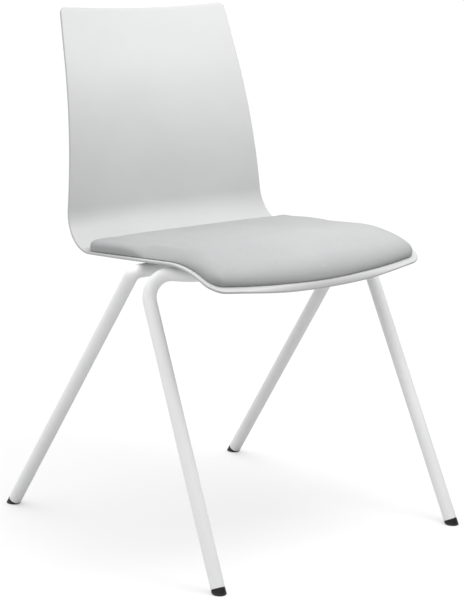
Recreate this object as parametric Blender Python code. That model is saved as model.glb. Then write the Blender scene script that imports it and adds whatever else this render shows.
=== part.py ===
"""Stacking chair: a one-piece shell with a seat pad, on two bent-tube leg frames.

Metres, +Z up. The origin is on the floor in the middle of the four feet.
The sitter faces -Y, so the sitter's right-hand side is -X.
"""
import math

import bmesh
import bpy
from mathutils import Matrix, Vector

# ---------------------------------------------------------------- driving dimensions

GAP = 0.0003                    # clearance kept between touching pieces
LAYER_GAP = 0.0006              # clearance between the pad's layers, whose facets agree
CURVED_GAP = 0.0014             # clearance between curved layers, whose facets differ
SMOOTH_ANGLE = math.radians(35.0)

# Leg tubes
TUBE_RADIUS = 0.011
TUBE_WALL = 0.002
TUBE_SIDES = 16
FRONT_FOOT = Vector((0.252, -0.2856, 0.0))
FRONT_LEG_RISE = Vector((-0.044, 0.456, 1.0))
REAR_FOOT = Vector((0.249, 0.2844, 0.0))
REAR_LEG_RISE = Vector((-0.042, -0.736, 1.0))
FRONT_RUN_Z = 0.4580            # height of the front cross run's axis
FRONT_RUN_Y = -0.150
REAR_RUN_Z = 0.4546
FRONT_RUN_HEADING = math.radians(31.0)   # inward from straight ahead
FRONT_BEND_RADIUS = 0.035
FRONT_CORNER_RADIUS = 0.040
REAR_BEND_RADIUS = 0.0125
BEND_STEP = math.radians(16.0)

# Glides
FRONT_GLIDE_LENGTH = 0.0085     # along the leg's axis, floor to tube end
REAR_GLIDE_LENGTH = 0.0105
GLIDE_STEM_LENGTH = 0.018
GLIDE_EDGE = 0.0012

# Shell: the outer line (rear and under side) runs from the back's top edge to the front lip
SHELL_THICKNESS = 0.0045
SHELL_TOP_Y = 0.2236
SHELL_TOP_Z = 0.8518
SHELL_TOP_HEADING = -106.3
SHELL_RUNS = (                  # (length, turn in degrees)
    (0.092, 0.0),               # upper back
    (0.240, 15.2),              # lumbar curve
    (0.108, -92.2),             # bend from back to seat
    (0.212, 0.0),               # seat
    (0.1245, 37.3),             # waterfall front
    (0.0100, 48.0),             # tight curl of the lip
    (0.0026, 0.0),
)
SHELL_LENGTH = sum(length for length, turn in SHELL_RUNS)
BACK_HALF_WIDTH = 0.1737
BACK_TAPER = 0.101              # half-width gained for each metre down the back
SEAT_HALF_WIDTH = 0.2225
WIDTH_BLEND = 0.014
BACK_WRAP = 0.011               # how far the middle of the back is set behind its edges
BACK_WRAP_TOP = 0.006
TOP_EDGE_DIP = 0.0045
TOP_CORNER_RADIUS = 0.011
FRONT_BULGE = 0.0202
FRONT_CORNER = 0.0248
END_BLEND = 0.11
RIM_BEVEL = 0.0016

# Seat pad
PAD_HALF_WIDTH = 0.2146
PAD_REAR_S = 0.422              # distance along the shell's outer line
PAD_FRONT_MARGIN = 0.0060       # shell left uncovered at the ends of the pad's front edge
PAD_BULGE = 0.0157              # how far the middle of that edge is ahead of its ends
PAD_CORNER = 0.024
PAD_REAR_CORNER = 0.030
PAD_HEIGHT = 0.0175
PAD_CROWN = 0.0020
PAD_EDGE = 0.0070               # height of the upright edge
PAD_EDGE_DRAWN = 0.0032         # the same where the sides are drawn down
SIDE_ROLL = 0.019               # how far in from each edge the upper face levels out
SIDE_ROLL_DRAWN = 0.027
FRONT_ROLL = 0.034
REAR_ROLL = 0.027
DRAWN_START = -0.42             # share of the half-length where the sides begin to draw down
DRAWN_END = -0.05
DRAWN_EASE = 0.60               # how much of that is given up again towards the front
DRAWN_EASE_START = 0.30
DRAWN_EASE_END = 0.85
ROLL_COLUMNS = (0.0, 0.0015, 0.005, 0.010, 0.017, 0.025, 0.034)   # distances in from the sides
ROLL_ROWS = (0.0, 0.0015, 0.005, 0.010, 0.016, 0.025, 0.037)      # and from the ends
PLAIN_COLUMNS = 3               # steps from those to the middle
PLAIN_ROWS = 7
HEM_WIDTH = 0.020
HEM_ROUND = 0.0018
COVER_THICKNESS = 0.0012
BOARD_THICKNESS = 0.003
BOARD_INSET = 0.014             # foam and board, in from the pad's outline

# Seat rails and the shell's fixings
RAIL_X = 0.105
RAIL_WIDTH = 0.028
RAIL_THICKNESS = 0.003
RAIL_END = 0.010                # length of the rails' rounded ends
RAIL_REAR_Y = 0.072
RAIL_FRONT_Y = -0.168
RAIL_END_ANGLES = (0.5, 1.0, math.pi / 2.0)
RAIL_BENT_STEPS = 4
SCREW_FRONT_Y = -0.1015
SCREW_REAR_Y = 0.045
SCREW_SHANK_RADIUS = 0.0023
SCREW_HEAD_RADIUS = 0.0046
SCREW_HEAD_HEIGHT = 0.0030
SCREW_DRIVE_RADIUS = 0.0016
SCREW_DRIVE_DEPTH = 0.0018
SCREW_CHAMFER = 0.0006
SCREW_PLAY = 0.0004
INSERT_RADIUS = 0.0042
INSERT_HEIGHT = 0.0030
INSERT_GROOVE = 0.0006
WASHER_RADIUS = 0.0065
WASHER_THICKNESS = 0.0010
PAD_SCREW_X = 0.165
PAD_SCREW_FRONT_Y = -0.110
PAD_SCREW_REAR_Y = 0.050
PAD_SCREW_SHANK_RADIUS = 0.0016
PAD_SCREW_HEAD_RADIUS = 0.0038
PAD_SCREW_HEAD_HEIGHT = 0.0022
PAD_SCREW_RIM_HEIGHT = 0.0008
PAD_SCREW_DRIVE_RADIUS = 0.0012
PAD_SCREW_POINT = 0.0007

# Stacking bumpers, clipped on the cross runs
BUMPER_X = 0.060
BUMPER_WIDTH = 0.026
BUMPER_SIDE = 0.0038
BUMPER_FOOT = 0.0050
BUMPER_TOP = 0.0045
BUMPER_ROUND = 0.0025

ROUND_STEPS = 16

# ---------------------------------------------------------------- helpers


def clear_scene():
    for obj in list(bpy.data.objects):
        bpy.data.objects.remove(obj, do_unlink=True)


def material(name, color, roughness, metallic=0.0):
    mat = bpy.data.materials.get(name)
    if mat is None:
        mat = bpy.data.materials.new(name)
        mat.use_nodes = True
        shader = mat.node_tree.nodes["Principled BSDF"]
        shader.inputs["Base Color"].default_value = (*color, 1.0)
        shader.inputs["Roughness"].default_value = roughness
        shader.inputs["Metallic"].default_value = metallic
    return mat


def shell_plastic():
    return material("shell_plastic", (0.80, 0.80, 0.81), 0.38)


def frame_paint():
    return material("frame_paint", (0.78, 0.79, 0.80), 0.42)


def pad_leather():
    return material("pad_leather", (0.68, 0.69, 0.70), 0.60)


def foam_yellow():
    return material("pad_foam", (0.86, 0.82, 0.66), 0.95)


def board_plastic():
    return material("board_plastic", (0.16, 0.16, 0.17), 0.70)


def zinc_steel():
    return material("zinc_steel", (0.62, 0.63, 0.65), 0.35, 1.0)


def insert_brass():
    return material("insert_brass", (0.74, 0.58, 0.30), 0.35, 1.0)


def glide_plastic():
    return material("glide_plastic", (0.02, 0.02, 0.02), 0.50)


def bumper_plastic():
    return material("bumper_plastic", (0.08, 0.08, 0.09), 0.60)


def mesh_object(name, verts, faces, mat, smooth=True):
    mesh = bpy.data.meshes.new(name)
    mesh.from_pydata([tuple(v) for v in verts], [], faces)
    if smooth:
        mesh.shade_smooth()
        mesh.set_sharp_from_angle(angle=SMOOTH_ANGLE)
    obj = bpy.data.objects.new(name, mesh)
    obj.data.materials.append(mat)
    bpy.context.scene.collection.objects.link(obj)
    return obj


def lofted(rings, close_rings=True):
    """Vertices and quads that join equal rings of points in order."""
    count = len(rings[0])
    verts = [point for ring in rings for point in ring]
    faces = []
    for i in range(len(rings) - 1):
        for j in range(count if close_rings else count - 1):
            a = i * count + j
            b = i * count + (j + 1) % count
            faces.append((a, b, b + count, a + count))
    return verts, faces


def turned(name, profile, mat, steps=ROUND_STEPS):
    """Spin an (r, z) outline round Z. It runs from the axis, or closes on itself as a ring."""
    bm = bmesh.new()
    verts = [bm.verts.new((r, 0.0, z)) for r, z in profile]
    edges = [bm.edges.new(pair) for pair in zip(verts, verts[1:])]
    if profile[0][0] > 0.0:
        edges.append(bm.edges.new((verts[-1], verts[0])))
    bmesh.ops.spin(bm, geom=verts + edges, cent=(0, 0, 0), axis=(0, 0, 1),
                   angle=2.0 * math.pi, steps=steps, use_merge=True)
    bmesh.ops.remove_doubles(bm, verts=bm.verts[:], dist=1e-6)
    bmesh.ops.recalc_face_normals(bm, faces=bm.faces[:])
    mesh = bpy.data.meshes.new(name)
    bm.to_mesh(mesh)
    bm.free()
    mesh.shade_smooth()
    mesh.set_sharp_from_angle(angle=SMOOTH_ANGLE)
    mesh.materials.append(mat)
    obj = bpy.data.objects.new(name, mesh)
    bpy.context.scene.collection.objects.link(obj)
    return obj


def box_object(name, size, mat, edge_filter, radius, segments):
    """A box centred on the origin, with the edges that the filter picks rounded."""
    bm = bmesh.new()
    bmesh.ops.create_cube(bm, size=1.0)
    bmesh.ops.scale(bm, vec=size, verts=bm.verts[:])
    picked = [edge for edge in bm.edges if edge_filter(edge)]
    bmesh.ops.bevel(bm, geom=picked, offset=radius, segments=segments, profile=0.5,
                    affect="EDGES", clamp_overlap=True)
    mesh = bpy.data.meshes.new(name)
    bm.to_mesh(mesh)
    bm.free()
    mesh.materials.append(mat)
    obj = bpy.data.objects.new(name, mesh)
    bpy.context.scene.collection.objects.link(obj)
    return obj


def cutter_cylinder(name, radius, length, matrix):
    """A hidden cylinder, centred on its matrix and lying along its Z."""
    bm = bmesh.new()
    bmesh.ops.create_cone(bm, cap_ends=True, segments=ROUND_STEPS,
                          radius1=radius, radius2=radius, depth=length, matrix=matrix)
    mesh = bpy.data.meshes.new(name)
    bm.to_mesh(mesh)
    bm.free()
    obj = bpy.data.objects.new(name, mesh)
    bpy.context.scene.collection.objects.link(obj)
    obj.hide_render = True
    obj.display_type = "WIRE"
    return obj


def cut(obj, cutters):
    for cutter in cutters:
        modifier = obj.modifiers.new("cut", "BOOLEAN")
        modifier.operation = "DIFFERENCE"
        modifier.object = cutter


def solidify(obj, thickness):
    """Thicken a sheet away from its normals."""
    modifier = obj.modifiers.new("thickness", "SOLIDIFY")
    modifier.thickness = thickness
    modifier.offset = -1.0
    modifier.use_even_offset = True


# ---------------------------------------------------------------- tubes


def rounded_path(corners, radii):
    """A polyline through the corners, each inner corner an arc of its radius."""
    path = [corners[0]]
    for before, corner, after, radius in zip(corners, corners[1:], corners[2:], radii):
        back = (before - corner).normalized()
        ahead = (after - corner).normalized()
        turn = math.pi - back.angle(ahead)
        start = corner + back * radius * math.tan(turn / 2.0)
        axis = (-back).cross(ahead).normalized()
        centre = start + axis.cross(-back) * radius
        steps = max(2, math.ceil(turn / BEND_STEP))
        for k in range(steps + 1):
            swing = Matrix.Rotation(turn * k / steps, 3, axis)
            path.append(centre + swing @ (start - centre))
    path.append(corners[-1])
    return path


def swept_rings(path, radius, sides):
    """Circles square to the path, carried along it without twist."""
    tangents = []
    for i, point in enumerate(path):
        back = path[max(i - 1, 0)]
        ahead = path[min(i + 1, len(path) - 1)]
        tangents.append((ahead - back).normalized())
    across = tangents[0].orthogonal().normalized()
    rings = []
    for point, tangent in zip(path, tangents):
        across = (across - tangent * across.dot(tangent)).normalized()
        other = tangent.cross(across)
        ring = []
        for k in range(sides):
            angle = 2.0 * math.pi * k / sides
            ring.append(point + (across * math.cos(angle) + other * math.sin(angle)) * radius)
        rings.append(ring)
    return rings


def leg_point(foot, rise, height, side):
    point = foot + rise * height
    return Vector((point.x * side, point.y, point.z))


def leg_direction(rise, side):
    return Vector((rise.x * side, rise.y, rise.z)).normalized()


def leg_tube(name, foot, rise, glide_length, half_corners, half_radii):
    """A hollow tube, symmetric about X: leg, bends, cross run, bends, leg."""
    start = leg_point(foot, rise, 0.0, 1) + leg_direction(rise, 1) * (glide_length + GAP)
    half = [start] + half_corners
    mirrored = [Vector((-p.x, p.y, p.z)) for p in reversed(half)]
    path = rounded_path(half + mirrored, half_radii + half_radii[::-1])
    verts, faces = lofted(swept_rings(path, TUBE_RADIUS, TUBE_SIDES))
    obj = mesh_object(name, verts, faces, frame_paint())
    solidify(obj, TUBE_WALL)
    return obj


def front_leg_tube():
    bend = leg_point(FRONT_FOOT, FRONT_LEG_RISE, FRONT_RUN_Z, 1)
    ahead = bend.y - FRONT_RUN_Y
    inward = ahead * math.tan(FRONT_RUN_HEADING)
    corner = Vector((bend.x - inward, FRONT_RUN_Y, FRONT_RUN_Z))
    return leg_tube("front_leg_tube", FRONT_FOOT, FRONT_LEG_RISE, FRONT_GLIDE_LENGTH,
                    [bend, corner], [FRONT_BEND_RADIUS, FRONT_CORNER_RADIUS])


def rear_leg_tube():
    bend = leg_point(REAR_FOOT, REAR_LEG_RISE, REAR_RUN_Z, 1)
    return leg_tube("rear_leg_tube", REAR_FOOT, REAR_LEG_RISE, REAR_GLIDE_LENGTH,
                    [bend], [REAR_BEND_RADIUS])


def rear_run_y():
    return leg_point(REAR_FOOT, REAR_LEG_RISE, REAR_RUN_Z, 1).y


def glide(name, foot, rise, length, side):
    """A foot cut flat on the floor, with a stem inside the tube's end."""
    axis = leg_direction(rise, side)
    centre = leg_point(foot, rise, 0.0, side)
    across = axis.orthogonal().normalized()
    other = axis.cross(across)
    stem_radius = TUBE_RADIUS - TUBE_WALL - GAP

    def circle(radius, distance):
        ring = []
        for k in range(ROUND_STEPS):
            angle = 2.0 * math.pi * k / ROUND_STEPS
            spoke = across * math.cos(angle) + other * math.sin(angle)
            ring.append(centre + axis * distance + spoke * radius)
        return ring

    def on_plane(radius, height):
        ring = []
        for point in circle(radius, 0.0):
            ring.append(point + axis * (height - point.z) / axis.z)
        return ring

    rings = [
        on_plane(TUBE_RADIUS - GLIDE_EDGE, 0.0),
        on_plane(TUBE_RADIUS, GLIDE_EDGE),
        circle(TUBE_RADIUS, length),
        circle(stem_radius, length),
        circle(stem_radius, length + GLIDE_STEM_LENGTH),
    ]
    verts, faces = lofted(rings)
    faces.append(tuple(range(ROUND_STEPS))[::-1])
    last = (len(rings) - 1) * ROUND_STEPS
    faces.append(tuple(range(last, last + ROUND_STEPS)))
    return mesh_object(name, verts, faces, glide_plastic())


# ---------------------------------------------------------------- shell


def shell_line(s):
    """(y, z, heading) on the shell's outer line, at the distance s from its top."""
    y, z = SHELL_TOP_Y, SHELL_TOP_Z
    heading = math.radians(SHELL_TOP_HEADING)
    left = max(s, 0.0)
    for index, (length, turn) in enumerate(SHELL_RUNS):
        last = index == len(SHELL_RUNS) - 1
        step = left if last else min(left, length)
        bend = math.radians(turn) / length
        if bend == 0.0:
            y += math.cos(heading) * step
            z += math.sin(heading) * step
        else:
            y += (math.sin(heading + bend * step) - math.sin(heading)) / bend
            z -= (math.cos(heading + bend * step) - math.cos(heading)) / bend
        heading += bend * step
        left -= step
        if left <= 0.0:
            break
    return y, z, heading


def seat_distance(y):
    """The distance s at which the seat's outer line passes y, found by halving."""
    low = sum(length for length, turn in SHELL_RUNS[:3])
    high = SHELL_LENGTH
    for _ in range(40):
        middle = (low + high) / 2.0
        if shell_line(middle)[0] > y:
            low = middle
        else:
            high = middle
    return low


def smooth_step(t):
    t = min(max(t, 0.0), 1.0)
    return t * t * (3.0 - 2.0 * t)


def shell_half_width(s):
    taper = BACK_HALF_WIDTH + BACK_TAPER * s
    blend = max(WIDTH_BLEND - abs(taper - SEAT_HALF_WIDTH), 0.0) / WIDTH_BLEND
    return min(taper, SEAT_HALF_WIDTH) - blend * blend * WIDTH_BLEND / 4.0


def shell_wrap(s):
    """Set-back of the shell's middle behind its edges."""
    bend_start = SHELL_RUNS[0][0] + SHELL_RUNS[1][0]
    bend_end = bend_start + SHELL_RUNS[2][0]
    rising = BACK_WRAP_TOP + (BACK_WRAP - BACK_WRAP_TOP) * smooth_step(s / bend_start)
    return rising * (1.0 - smooth_step((s - bend_start * 0.85) / (bend_end - bend_start * 0.85)))


def shell_point(x, s, lift=0.0):
    """A point of the shell at x across and s along, lifted towards the sitter."""
    y, z, heading = shell_line(s)
    share = x / shell_half_width(s)
    lift -= shell_wrap(s) * (1.0 - share * share)
    return Vector((x, y + math.sin(heading) * lift, z - math.cos(heading) * lift))


def corner_drop(x, half_width, radius):
    over = max(abs(x) - (half_width - radius), 0.0)
    return radius - math.sqrt(max(radius * radius - over * over, 0.0))


def shell_start(u):
    half_width = BACK_HALF_WIDTH
    return TOP_EDGE_DIP * (1.0 - u * u) + corner_drop(u * half_width, half_width, TOP_CORNER_RADIUS)


def shell_end(u):
    half_width = SEAT_HALF_WIDTH
    bulge = FRONT_BULGE * abs(u) ** 2.2
    return SHELL_LENGTH - bulge - corner_drop(u * half_width, half_width, FRONT_CORNER)


def shell_columns():
    """Shares of the half-width, closer together round the corners."""
    flat_end = 1.0 - FRONT_CORNER / SEAT_HALF_WIDTH
    inner = [flat_end * k / 6 for k in range(-6, 7)]
    outer = [flat_end + (1.0 - flat_end) * math.sin(math.pi / 2 * k / 4) for k in range(1, 5)]
    return [-u for u in reversed(outer)] + inner + outer


def shell_rows():
    """Distances along the shell, closer together where it bends."""
    rows = []
    start = 0.0
    for (length, turn), steps in zip(SHELL_RUNS, (3, 6, 9, 5, 8, 5, 1)):
        rows += [start + length * k / steps for k in range(steps)]
        start += length
    return rows + [start]


def seat_shell(cutters):
    grid = []
    for s in shell_rows():
        near_top = max(1.0 - s / END_BLEND, 0.0)
        near_front = max(1.0 - (SHELL_LENGTH - s) / END_BLEND, 0.0)
        row = []
        for u in shell_columns():
            at = s + shell_start(u) * near_top
            at += (shell_end(u) - SHELL_LENGTH) * near_front
            row.append(shell_point(u * shell_half_width(at), at))
        grid.append(row)
    verts, faces = lofted(grid, close_rings=False)
    obj = mesh_object("seat_shell", verts, faces, shell_plastic())
    solidify(obj, SHELL_THICKNESS)
    rim = obj.modifiers.new("rim", "BEVEL")
    rim.width = RIM_BEVEL
    rim.segments = 2
    rim.limit_method = "ANGLE"
    rim.angle_limit = math.radians(60.0)
    cut(obj, cutters)
    return obj


# ---------------------------------------------------------------- pad


def pad_half_length():
    front = SHELL_LENGTH - PAD_FRONT_MARGIN - FRONT_BULGE
    return (front - PAD_REAR_S) / 2.0


def pad_half_width(b):
    radius = PAD_CORNER if b > 0.0 else PAD_REAR_CORNER
    return PAD_HALF_WIDTH - corner_drop(b * pad_half_length(), pad_half_length(), radius)


def rolled_shares(half_span, rolled, plain_steps):
    """Shares from -1 to 1: at the rolled distances in from both ends, then in even steps."""
    outer = [1.0 - distance / half_span for distance in rolled]
    inner = [outer[-1] * (1.0 - k / plain_steps) for k in range(1, plain_steps)]
    half = outer + inner
    return [-share for share in half] + [0.0] + half[::-1]


def soft_roll(distance, width, power):
    """0 at an edge, rising to 1 at width from it: rounder for a higher power."""
    share = min(max(distance / width, 0.0), 1.0)
    return (1.0 - (1.0 - share) ** power) ** (1.0 / power)


def side_draw(b):
    """How far the pad's sides are drawn down: not at the rear, fully in the middle, less ahead."""
    drawn = min(max((b - DRAWN_START) / (DRAWN_END - DRAWN_START), 0.0), 1.0) ** 2
    eased = smooth_step((b - DRAWN_EASE_START) / (DRAWN_EASE_END - DRAWN_EASE_START))
    return drawn * (1.0 - DRAWN_EASE * eased)


def pad_edge_height(b):
    return PAD_EDGE + (PAD_EDGE_DRAWN - PAD_EDGE) * side_draw(b)


def pad_top_height(a, b):
    """Height of the pad's upper face above its underside."""
    half_length = pad_half_length()
    from_side = (1.0 - abs(a)) * pad_half_width(b)
    square = soft_roll(from_side, SIDE_ROLL, 2.3)
    drawn = soft_roll(from_side, SIDE_ROLL_DRAWN, 1.2)
    side = square + (drawn - square) * side_draw(b)
    front = soft_roll((1.0 - b) * half_length, FRONT_ROLL, 1.7)
    rear = soft_roll((1.0 + b) * half_length, REAR_ROLL, 2.1)
    drop = sum((1.0 - share) ** 4 for share in (side, front, rear)) ** 0.25
    edge = pad_edge_height(b)
    crown = PAD_CROWN * (1.0 - a * a) * (1.0 - b * b)
    return edge + (PAD_HEIGHT - edge) * (1.0 - min(drop, 1.0)) + crown


def pad_point(a, b, inset, height):
    """A point at shares a across and b along, pulled in by inset, height above the underside."""
    half_length = pad_half_length()
    x = a * (pad_half_width(b) - inset)
    bulge = PAD_BULGE * (1.0 - abs(a) ** 2.2) * max(b, 0.0) ** 2
    s = PAD_REAR_S + half_length + b * (half_length - inset) + bulge
    return shell_point(x, s, SHELL_THICKNESS + CURVED_GAP + height)


def pad_grid(inset, height):
    """Points over the pad's outline; height is a length or a function of a and b."""
    grid = []
    for b in rolled_shares(pad_half_length(), ROLL_ROWS, PLAIN_ROWS):
        row = []
        for a in rolled_shares(PAD_HALF_WIDTH, ROLL_COLUMNS, PLAIN_COLUMNS):
            row.append(pad_point(a, b, inset, height(a, b) if callable(height) else height))
        grid.append(row)
    return grid


def boundary(grid):
    right = [row[-1] for row in grid[1:-1]]
    left = [row[0] for row in grid[-2:0:-1]]
    return grid[0] + right + grid[-1][::-1] + left


def pad_body(name, loops, top, bottom, mat):
    """Loops of points joined upwards, closed by the top grid and, if given, the bottom grid."""
    verts, faces = lofted(loops)
    top_verts, top_faces = lofted(top, close_rings=False)
    start = len(verts)
    verts += top_verts
    faces += [tuple(start + index for index in face) for face in top_faces]
    if bottom:
        bottom_verts, bottom_faces = lofted(bottom, close_rings=False)
        start = len(verts)
        verts += bottom_verts
        faces += [tuple(start + index for index in face[::-1]) for face in bottom_faces]
    obj = mesh_object(name, verts, [face[::-1] for face in faces], mat)
    bm = bmesh.new()
    bm.from_mesh(obj.data)
    bmesh.ops.remove_doubles(bm, verts=bm.verts[:], dist=1e-6)
    bm.to_mesh(obj.data)
    bm.free()
    return obj


def pad_cover():
    """The cover: a hem under the board, an upright edge and the rolled upper face."""
    top = pad_grid(0.0, pad_top_height)
    low = [
        boundary(pad_grid(inset, height))
        for inset, height in ((HEM_WIDTH, 0.0), (HEM_ROUND, 0.0), (0.0, HEM_ROUND))
    ]
    obj = pad_body("pad_cover", low + [boundary(top)], top, None, pad_leather())
    solidify(obj, COVER_THICKNESS)
    return obj


def board_bottom():
    return COVER_THICKNESS + LAYER_GAP


def inset_top_height(a, b):
    """Height of the pad's upper face over the same point once the outline is pulled in."""
    half_width = pad_half_width(b)
    half_length = pad_half_length()
    return pad_top_height(a * (1.0 - BOARD_INSET / half_width), b * (1.0 - BOARD_INSET / half_length))


def foam_top_height(a, b):
    return inset_top_height(a, b) - COVER_THICKNESS - CURVED_GAP


def pad_foam():
    """The foam block between the board and the cover."""
    bottom = pad_grid(BOARD_INSET, board_bottom() + BOARD_THICKNESS + LAYER_GAP)
    top = pad_grid(BOARD_INSET, foam_top_height)
    return pad_body("pad_foam", [boundary(bottom), boundary(top)], top, bottom, foam_yellow())


def pad_board(cutters):
    bottom = pad_grid(BOARD_INSET, board_bottom())
    top = pad_grid(BOARD_INSET, board_bottom() + BOARD_THICKNESS)
    loops = [boundary(bottom), boundary(top)]
    obj = pad_body("pad_board", loops, top, bottom, board_plastic())
    cut(obj, cutters)
    return obj


# ---------------------------------------------------------------- rails and fixings


def under_seat(x, y, drop=0.0):
    """A frame under the seat at x, y: its Z is square to the shell, its origin drop below it."""
    s = seat_distance(y)
    tilt = math.pi + shell_line(s)[2]
    return Matrix.Translation(shell_point(x, s, -drop)) @ Matrix.Rotation(tilt, 4, "X")


def seat_rail(name, side):
    """A flat bar that follows the shell's underside, with rounded ends and two holes."""
    rear = seat_distance(RAIL_REAR_Y)
    front = seat_distance(RAIL_FRONT_Y)
    flat_end = sum(length for length, turn in SHELL_RUNS[:4])
    ends = [(RAIL_END * (1.0 - math.cos(angle)), math.sin(angle)) for angle in RAIL_END_ANGLES]
    step = (front - RAIL_END - flat_end) / RAIL_BENT_STEPS
    rows = [(rear + inward, share) for inward, share in ends]
    rows += [(flat_end + step * k, 1.0) for k in range(RAIL_BENT_STEPS)]
    rows += [(front - inward, share) for inward, share in reversed(ends)]
    rings = []
    for s, share in rows:
        half = RAIL_WIDTH / 2.0 * share
        corners = ((-half, 0.0), (half, 0.0), (half, RAIL_THICKNESS), (-half, RAIL_THICKNESS))
        rings.append([shell_point(RAIL_X * side + dx, s, -GAP - drop) for dx, drop in corners])
    verts, faces = lofted(rings)
    last = len(verts) - 4
    faces += [(3, 2, 1, 0), (last, last + 1, last + 2, last + 3)]
    obj = mesh_object(name, verts, faces, frame_paint())
    holes = []
    for end, y in (("front", SCREW_FRONT_Y), ("rear", SCREW_REAR_Y)):
        matrix = under_seat(RAIL_X * side, y)
        holes.append(cutter_cylinder(f"{name}_{end}_hole_cut", SCREW_SHANK_RADIUS + SCREW_PLAY,
                                     4.0 * RAIL_THICKNESS, matrix))
    cut(obj, holes)
    return obj


def shell_screw(name, x, y):
    """A pan-head machine screw, from under the rail's washer up into the insert."""
    seat = GAP * 3 + RAIL_THICKNESS + WASHER_THICKNESS
    reach = seat + INSERT_HEIGHT - 2.0 * GAP
    head = SCREW_HEAD_HEIGHT
    profile = [
        (0.0, SCREW_DRIVE_DEPTH - head),
        (SCREW_DRIVE_RADIUS, SCREW_DRIVE_DEPTH - head),
        (SCREW_DRIVE_RADIUS, -head),
        (SCREW_HEAD_RADIUS * 0.72, -head),
        (SCREW_HEAD_RADIUS, -head * 0.45),
        (SCREW_HEAD_RADIUS, 0.0),
        (SCREW_SHANK_RADIUS, 0.0),
        (SCREW_SHANK_RADIUS, reach - SCREW_CHAMFER),
        (SCREW_SHANK_RADIUS - SCREW_CHAMFER, reach),
        (0.0, reach),
    ]
    obj = turned(name, profile, zinc_steel())
    obj.matrix_world = under_seat(x, y, seat)
    return obj


def washer(name, x, y):
    inner = SCREW_SHANK_RADIUS + GAP
    profile = [(inner, 0.0), (WASHER_RADIUS, 0.0), (WASHER_RADIUS, WASHER_THICKNESS),
               (inner, WASHER_THICKNESS)]
    obj = turned(name, profile, zinc_steel())
    obj.matrix_world = under_seat(x, y, 2.0 * GAP + RAIL_THICKNESS + WASHER_THICKNESS)
    return obj


def thread_insert(name, x, y):
    inner = SCREW_SHANK_RADIUS + GAP
    waist = INSERT_RADIUS - INSERT_GROOVE
    h = INSERT_HEIGHT
    profile = [(inner, 0.0), (INSERT_RADIUS, 0.0), (INSERT_RADIUS, h * 0.36), (waist, h * 0.44),
               (waist, h * 0.56), (INSERT_RADIUS, h * 0.64), (INSERT_RADIUS, h), (inner, h)]
    obj = turned(name, profile, insert_brass())
    obj.matrix_world = under_seat(x, y)
    return obj


def insert_pocket(name, x, y):
    depth = INSERT_HEIGHT + GAP
    matrix = under_seat(x, y) @ Matrix.Translation((0, 0, depth / 2.0 - 0.001))
    return cutter_cylinder(name, INSERT_RADIUS + GAP, depth + 0.002, matrix)


def pad_screw(name, x, y):
    """A self-tapping screw, from under the shell up into the pad's board."""
    reach = SHELL_THICKNESS + CURVED_GAP + board_bottom() + BOARD_THICKNESS - GAP
    profile = [
        (0.0, -PAD_SCREW_RIM_HEIGHT),
        (PAD_SCREW_DRIVE_RADIUS, -PAD_SCREW_RIM_HEIGHT),
        (PAD_SCREW_DRIVE_RADIUS, -PAD_SCREW_HEAD_HEIGHT),
        (PAD_SCREW_HEAD_RADIUS * 0.7, -PAD_SCREW_HEAD_HEIGHT),
        (PAD_SCREW_HEAD_RADIUS, -PAD_SCREW_RIM_HEIGHT),
        (PAD_SCREW_HEAD_RADIUS, -GAP),
        (PAD_SCREW_SHANK_RADIUS, -GAP),
        (PAD_SCREW_SHANK_RADIUS, reach - PAD_SCREW_POINT),
        (PAD_SCREW_SHANK_RADIUS / 2.0, reach),
        (0.0, reach),
    ]
    obj = turned(name, profile, zinc_steel())
    obj.matrix_world = under_seat(x, y)
    return obj


def pad_screw_hole(name, x, y):
    """Through the shell and the board, centred in the shell's upper face."""
    depth = 2.0 * (CURVED_GAP + board_bottom() + BOARD_THICKNESS + LAYER_GAP / 2.0)
    matrix = under_seat(x, y) @ Matrix.Translation((0, 0, SHELL_THICKNESS))
    return cutter_cylinder(name, PAD_SCREW_SHANK_RADIUS + GAP, depth, matrix)


def stacking_bumper(name, x, y, z):
    """A block clipped on a cross run from below, its foot flat."""
    width = 2.0 * (TUBE_RADIUS + GAP + BUMPER_SIDE)
    height = BUMPER_TOP + TUBE_RADIUS + GAP + BUMPER_FOOT
    obj = box_object(name, (BUMPER_WIDTH, width, height), bumper_plastic(),
                     lambda edge: min(v.co.z for v in edge.verts) < 0.0, BUMPER_ROUND, 2)
    obj.location = (x, y, z + BUMPER_TOP - height / 2.0)
    matrix = Matrix.Translation((x, y, z)) @ Matrix.Rotation(math.pi / 2.0, 4, "Y")
    cut(obj, [cutter_cylinder(f"{name}_bore_cut", TUBE_RADIUS + GAP, 2.0 * BUMPER_WIDTH, matrix)])
    return obj


# ---------------------------------------------------------------- assembly


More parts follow.
